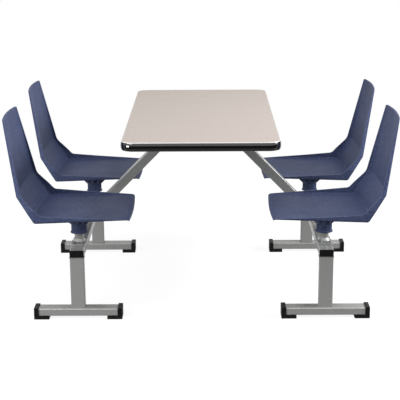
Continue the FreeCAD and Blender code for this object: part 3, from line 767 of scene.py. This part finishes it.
# the same coat over a weld, darker as painted shade at the joints, with no corner highlight
SHADED_WELD_COAT = PowderCoat(
    "shaded_silver_powder_coat_on_weld",
    metallic=0.1,
    base="#7d7e7c",
    flake="#878886",
    corner_highlight="#7d7e7c",
    smooth=0.3,
    dull=0.4,
)

# brown paper soaked with resin: the plain sheet on the underside, faintly mottled and dull
BACKING = MottledSkin(
    "phenolic_backing_sheet",
    specular=0.3,
    base="#8b8078",
    shade="#756a62",
    mottle=25.0,
    detail=5.0,
    smooth=0.5,
    dull=0.65,
    relief_size=1.5,
)


@dataclass
class Dresser:
    """Gives the frame's nodes and the new pieces the finish of their material slot."""

    materials: dict[str, bpy.types.Material] = field(default_factory=dict)

    def material(self, slot: str) -> bpy.types.Material:
        """The material of a slot, made once."""
        if slot not in self.materials:
            self.materials[slot] = SLOT_FINISHES[slot].make()
        return self.materials[slot]

    def dress_frame(self) -> None:
        """Dress every node by its slot in the record, and the backing sheet by its own."""
        for part in frame["record"]["subparts"]:
            for held in frame["nodes"][part["node"]].material_slots:
                held.material = self.material(part["material_slot"])
            LOG.info("%s: %s", part["node"], part["material_slot"])
        for held in frame["nodes"]["backing_sheet"].material_slots:
            held.material = BACKING.make()

    def place_piece(
        self,
        name: str,
        bm: bmesh.types.BMesh,
        slot: str,
        material: bpy.types.Material | None = None,
        body: str = "base",
    ) -> bpy.types.Object:
        """Make a finished piece out of a bmesh, dress it and let it ride on a body.

        Args:
            name: the piece's name.
            bm: its shape, in place; it is freed.
            slot: the material slot that it takes its finish from.
            material: the material, where it isn't the slot's own.
            body: the body that it moves with.

        Returns:
            The piece.
        """
        mesh = bpy.data.meshes.new(name)
        bm.to_mesh(mesh)
        bm.free()
        mesh.materials.append(material or self.material(slot))
        piece = bpy.data.objects.new(name, mesh)
        bpy.context.scene.collection.objects.link(piece)
        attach(piece, body)
        LOG.info("%s: %d faces, %s", name, len(mesh.polygons), slot)
        return piece


# ------------------------------------------------------------------ weld beads


@dataclass
class Weld:
    """A fillet weld round the foot of a tube: one closed bead with a ripple at each pass of
    the torch. The bead's radius and the ripples' pitch are in millimetres."""

    bead: float = 3.0
    pitch: float = 9.6
    # the bead's radius between two ripples, as a share of its full one
    pinch: float = 0.5
    rings: int = 2

    def round_path(self, centre: Vector, radius: float) -> list[Vector]:
        """Points of a path round a round tube."""
        count = RIPPLE_POINTS * round(math.tau * radius / (self.pitch * MM))
        arm = Vector((radius, 0.0, 0.0))
        return [centre + Matrix.Rotation(math.tau * i / count, 3, "Z") @ arm for i in range(count)]

    def square_path(self, centre: Vector, half: tuple[float, float]) -> list[Vector]:
        """Points of a path round a rectangular tube."""
        signs = ((-1, -1), (1, -1), (1, 1), (-1, 1))
        corners = [centre + Vector((a * half[0], b * half[1], 0.0)) for a, b in signs]
        points: list[Vector] = []
        for start, end in zip(corners, corners[1:] + corners[:1]):
            count = RIPPLE_POINTS * round((end - start).length / (self.pitch * MM))
            points += [start.lerp(end, i / count) for i in range(count)]
        return points

    def lay(self, bm: bmesh.types.BMesh, path: list[Vector]) -> None:
        """Lay one bead along a closed path.

        Args:
            bm: the mesh that gets it.
            path: the path's points, RIPPLE_POINTS to a ripple.
        """
        curve = bpy.data.curves.new("bead", "CURVE")
        curve.dimensions = "3D"
        curve.bevel_depth = self.bead * MM
        curve.bevel_resolution = self.rings
        line = curve.splines.new("POLY")
        line.points.add(len(path) - 1)
        for count, (point, place) in enumerate(zip(line.points, path)):
            point.co = (*place, 1.0)
            point.radius = self.pinch if count % RIPPLE_POINTS else 1.0
        line.use_cyclic_u = True
        line.use_smooth = True
        holder = bpy.data.objects.new("bead", curve)
        mesh = bpy.data.meshes.new_from_object(holder)
        bm.from_mesh(mesh)
        bpy.data.objects.remove(holder)
        bpy.data.curves.remove(curve)
        bpy.data.meshes.remove(mesh)


@dataclass
class Welds:
    """All the frame's visible welds."""

    dresser: Dresser
    # the beads' darker coat, painted shade at the joints
    coat: bpy.types.Material = field(default_factory=SHADED_WELD_COAT.make)
    weld: Weld = field(default_factory=Weld)
    fine_weld: Weld = field(default_factory=lambda: Weld(bead=2.2, pitch=6.0))

    def post_foot(self, place: Place) -> None:
        """The bead between a seat's post and its base plate."""
        label = place.label
        low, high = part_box(f"seat_post_{label}")
        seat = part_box(f"post_base_plate_{label}")[1].z
        centre = Vector(((low.x + high.x) / 2, (low.y + high.y) / 2, seat))
        bm = bmesh.new()
        self.weld.lay(bm, self.weld.round_path(centre, (high.x - low.x) / 2))
        self.dresser.place_piece(f"post_weld_{label}", bm, "frame_paint", self.coat)

    def upright_ends(self, place: Place) -> None:
        """The beads at an upright's foot and head."""
        low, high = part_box(f"upright_{place.label}")
        centre = (low + high) / 2
        half = ((high.x - low.x) / 2, (high.y - low.y) / 2)
        bm = bmesh.new()
        for level in (low.z, high.z):
            path = self.fine_weld.square_path(Vector((centre.x, centre.y, level)), half)
            self.fine_weld.lay(bm, path)
        self.dresser.place_piece(f"upright_welds_{place.label}", bm, "frame_paint", self.coat)

    def arm_ends(self, side: Side) -> None:
        """The beads at an arm's foot on its plate and at its head under the mounting plate."""
        low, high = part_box(f"arm_{side.label}")
        rise = high.z - low.z
        across = (high.x - low.x - rise) / 2
        along = (high.y - low.y) / 2
        outer = max(abs(low.x), abs(high.x)) - across
        inner = min(abs(low.x), abs(high.x)) + across
        bm = bmesh.new()
        for reach, level in ((outer, low.z), (inner, high.z)):
            centre = Vector((side.value * reach, (low.y + high.y) / 2, level))
            self.fine_weld.lay(bm, self.fine_weld.square_path(centre, (across, along)))
        self.dresser.place_piece(f"arm_welds_{side.label}", bm, "frame_paint", self.coat)

    def build(self) -> None:
        """Lay every bead."""
        for place in Place:
            self.post_foot(place)
            self.upright_ends(place)
        for side in Side:
            self.arm_ends(side)


# ------------------------------------------------------------------ bolts


@dataclass
class HexBolt:
    """A hexagon bolt with rounded corners, a washer face and its shank, in millimetres."""

    diameter: float
    reach: float
    # the head's width and height, as shares of the diameter
    across_flats: float = 1.6
    head: float = 0.64
    face: float = 0.5
    # the washer face's radius, as a share of the width across the flats
    face_share: float = 0.475
    softness: float = 0.7
    sides: int = 24

    def build(self, bm: bmesh.types.BMesh, seat: Vector) -> None:
        """Add one bolt.

        Args:
            bm: the mesh that gets it.
            seat: where its head rests.
        """
        flats = self.across_flats * self.diameter
        height = self.head * self.diameter
        corner = flats / math.sqrt(3)
        lift = (self.face + height) / 2
        head = bmesh.ops.create_cone(
            bm,
            cap_ends=True,
            segments=6,
            radius1=corner * MM,
            radius2=corner * MM,
            depth=(height - self.face) * MM,
            matrix=Matrix.Translation(seat + Vector((0.0, 0.0, lift * MM))),
        )
        edges = {edge for vertex in head["verts"] for edge in vertex.link_edges}
        bmesh.ops.bevel(
            bm,
            geom=list(edges),
            offset=self.softness * MM,
            segments=2,
            affect="EDGES",
            profile=0.5,
            material=-1,
        )
        for radius, depth, drop in (
            (self.face_share * flats, self.face, -self.face / 2),
            (self.diameter / 2, self.reach, self.reach / 2),
        ):
            bmesh.ops.create_cone(
                bm,
                cap_ends=True,
                segments=self.sides,
                radius1=radius * MM,
                radius2=radius * MM,
                depth=depth * MM,
                matrix=Matrix.Translation(seat - Vector((0.0, 0.0, drop * MM))),
            )


@dataclass
class Bolts:
    """The bolts that hold the posts' plates and the arms' plates to the beams."""

    dresser: Dresser
    post_bolt: HexBolt = field(default_factory=lambda: HexBolt(8.0, 18.0))
    arm_bolt: HexBolt = field(default_factory=lambda: HexBolt(10.0, 22.0))
    post_pitch: tuple[float, float] = (34.0, 80.0)
    arm_pitch: float = 106.0

    def post_bolts(self, side: Side) -> None:
        """Eight bolts, four to each of the side's posts."""
        bm = bmesh.new()
        for place in side.places:
            centre = middle(f"seat_post_{place.label}")
            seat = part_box(f"post_base_plate_{place.label}")[1].z
            for a in HALVES:
                for b in HALVES:
                    x = centre.x + a * self.post_pitch[0] * MM
                    y = centre.y + b * self.post_pitch[1] * MM
                    self.post_bolt.build(bm, Vector((x, y, seat)))
        node = f"post_bolts_{side.label}"
        piece = self.dresser.place_piece(f"hex_{node}", bm, "zinc_steel")
        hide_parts(node)

    def arm_bolts(self) -> None:
        """Four bolts, two to each arm's plate."""
        bm = bmesh.new()
        for side in Side:
            plate = f"arm_foot_plate_{side.label}"
            centre = middle(plate)
            for b in HALVES:
                y = centre.y + b * self.arm_pitch * MM
                self.arm_bolt.build(bm, Vector((centre.x, y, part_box(plate)[1].z)))
        piece = self.dresser.place_piece("hex_arm_bolts", bm, "zinc_steel")
        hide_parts("arm_bolts")

    def build(self) -> None:
        """Make every bolt."""
        for side in Side:
            self.post_bolts(side)
        self.arm_bolts()


# ------------------------------------------------------------------ the studio


@dataclass
class Lamp:
    """A softbox that looks at a point, in metres and watts."""

    name: str
    place: tuple[float, float, float]
    size: tuple[float, float]
    power: float
    target: tuple[float, float, float] = (0.0, 0.0, 0.45)


@dataclass
class Studio:
    """A white room: floor, soft lamps, even world light and the camera."""

    floor_half: float = 40.0
    floor_colour: str = "#707070"
    # from the table's middle, where the shadow starts to give way and where all is plain white
    floor_near: float = 1.3
    floor_far: float = 2.6
    # the floor's own light near the table, as a share of plain white
    floor_lift: float = 0.9
    # how much of the plain white a glossy ray sees
    mirrored: float = 0.6
    # how much of that the floor gives in front of the table and behind it, and between which
    # depths the first turns into the second, so that the table's black edge mirrors a dark floor
    floor_shine: float = 0.06
    floor_shine_behind: float = 1.0
    floor_turns: tuple[float, float] = (-1.2, 0.2)
    world_strength: float = 0.4
    lamps: tuple[Lamp, ...] = (
        Lamp("right_softbox", (3.3, -0.6, 1.7), (1.8, 1.2), 120.0),
        Lamp("left_softbox", (-3.3, -0.6, 2.0), (1.8, 1.2), 4.0),
        Lamp("front_softbox", (-2.6, -3.4, 2.7), (3.4, 2.4), 135.0),
        Lamp("overhead_softbox", (1.2, -0.3, 3.3), (1.3, 1.3), 44.0),
        Lamp("left_panel", (-3.0, -2.6, 0.35), (1.4, 0.6), 42.0, (-0.5, -0.4, 0.15)),
    )
    camera_place: tuple[float, float, float] = (0.0195, -4.768, 1.625)
    # turns in degrees, lens and sensor in millimetres
    camera_tilt: float = 75.171
    camera_roll: float = 0.318
    camera_yaw: float = 0.239
    camera_lens: float = 103.81
    camera_sensor: float = 36.0

    def sees_background(
        self, tree: bpy.types.NodeTree, shine: Feed | None = None
    ) -> bpy.types.Node:
        """How much of the plain background a ray sees.

        Args:
            tree: the node tree that asks.
            shine: how much of its own share a glossy ray sees, where it isn't all.

        Returns:
            1 for camera and transmission rays, a share for glossy ones and 0 for the rest.
        """
        path = add(tree, "ShaderNodeLightPath")
        glossy = add(
            tree,
            "ShaderNodeMapRange",
            span(0.0, 1.0, 0.0, self.mirrored),
            {"Value": path.outputs["Is Glossy Ray"]},
        )
        if shine is not None:
            glossy = add(
                tree,
                "ShaderNodeMath",
                {"operation": "MULTIPLY"},
                {"Value": glossy, "Value_001": shine},
            )
        either = add(
            tree,
            "ShaderNodeMath",
            {"operation": "MAXIMUM"},
            {
                "Value": path.outputs["Is Camera Ray"],
                "Value_001": path.outputs["Is Transmission Ray"],
            },
        )
        return add(
            tree,
            "ShaderNodeMath",
            {"operation": "MAXIMUM"},
            {"Value": either, "Value_001": glossy},
        )

    def light_world(self) -> None:
        """Even light from all round, seen as plain white."""
        world = bpy.data.worlds.new("studio_world")
        bpy.context.scene.world = world
        world.use_nodes = True
        tree = world.node_tree
        tree.nodes.clear()
        strength = add(
            tree,
            "ShaderNodeMapRange",
            span(0.0, 1.0, self.world_strength, 1.0),
            {"Value": self.sees_background(tree)},
        )
        background = add(
            tree,
            "ShaderNodeBackground",
            {"Color": linear("#ffffff")},
            {"Strength": strength},
        )
        add(tree, "ShaderNodeOutputWorld", links={"Surface": background})

    def lay_floor(self) -> None:
        """A floor that keeps the table's shadow near it and reads as plain white beyond."""
        bm = bmesh.new()
        bmesh.ops.create_grid(bm, x_segments=1, y_segments=1, size=self.floor_half)
        mesh = bpy.data.meshes.new("studio_floor")
        bm.to_mesh(mesh)
        bm.free()
        floor = bpy.data.objects.new("studio_floor", mesh)
        bpy.context.scene.collection.objects.link(floor)
        material = bpy.data.materials.new("pale_studio_floor")
        material.use_nodes = True
        tree = material.node_tree
        tree.nodes.clear()
        where = add(tree, "ShaderNodeTexCoord").outputs["Object"]
        reach = add(
            tree,
            "ShaderNodeVectorMath",
            {"operation": "LENGTH"},
            {"Vector": where},
        ).outputs["Value"]
        far = add(
            tree,
            "ShaderNodeMapRange",
            span(self.floor_near, self.floor_far),
            {"Value": reach},
        )
        colour = add(
            tree,
            "ShaderNodeMix",
            between(self.floor_colour, "#000000"),
            {"Factor_Float": far},
        )
        plain_white = add(
            tree,
            "ShaderNodeMapRange",
            span(0.0, 1.0, self.floor_lift, 1.0),
            {"Value": far},
        )
        depth = add(tree, "ShaderNodeSeparateXYZ", links={"Vector": where}).outputs["Y"]
        shine = add(
            tree,
            "ShaderNodeMapRange",
            span(*self.floor_turns, self.floor_shine, self.floor_shine_behind),
            {"Value": depth},
        )
        lift = add(
            tree,
            "ShaderNodeMath",
            {"operation": "MULTIPLY"},
            {"Value": plain_white, "Value_001": self.sees_background(tree, shine)},
        )
        shader = add(
            tree,
            "ShaderNodeBsdfPrincipled",
            {
                "Roughness": 0.9,
                "Specular IOR Level": 0.0,
                "Emission Color": linear("#ffffff"),
            },
            {"Base Color": colour, "Emission Strength": lift},
        )
        add(tree, "ShaderNodeOutputMaterial", links={"Surface": shader})
        mesh.materials.append(material)

    def hang_lamps(self) -> None:
        """Place the softboxes and turn them to their targets."""
        for lamp in self.lamps:
            light = bpy.data.lights.new(lamp.name, "AREA")
            light.shape = "RECTANGLE"
            light.size, light.size_y = lamp.size
            light.energy = lamp.power
            holder = bpy.data.objects.new(lamp.name, light)
            bpy.context.scene.collection.objects.link(holder)
            holder.location = lamp.place
            aim = Vector(lamp.target) - Vector(lamp.place)
            holder.rotation_euler = aim.to_track_quat("-Z", "Y").to_euler()

    def set_camera(self) -> None:
        """Stand the camera in front of the table, looking down a little."""
        data = bpy.data.cameras.new("studio_camera")
        data.lens = self.camera_lens
        data.sensor_width = self.camera_sensor
        camera = bpy.data.objects.new("studio_camera", data)
        bpy.context.scene.collection.objects.link(camera)
        camera.location = self.camera_place
        turns = (self.camera_tilt, self.camera_roll, self.camera_yaw)
        camera.rotation_euler = [math.radians(turn) for turn in turns]
        bpy.context.scene.camera = camera

    def build(self) -> None:
        """Set up the whole studio."""
        self.light_world()
        self.lay_floor()
        self.hang_lamps()
        self.set_camera()
        bpy.context.scene.view_settings.view_transform = "Standard"
        LOG.info("studio: %d lamps, camera at %s", len(self.lamps), self.camera_place)


def main() -> None:
    """Dress the frame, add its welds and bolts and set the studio."""
    logging.basicConfig(level=logging.INFO, format="%(message)s")
    dresser = Dresser()
    dresser.dress_frame()
    Welds(dresser).build()
    Bolts(dresser).build()
    Studio().build()


if __name__ == "__main__":
    main()
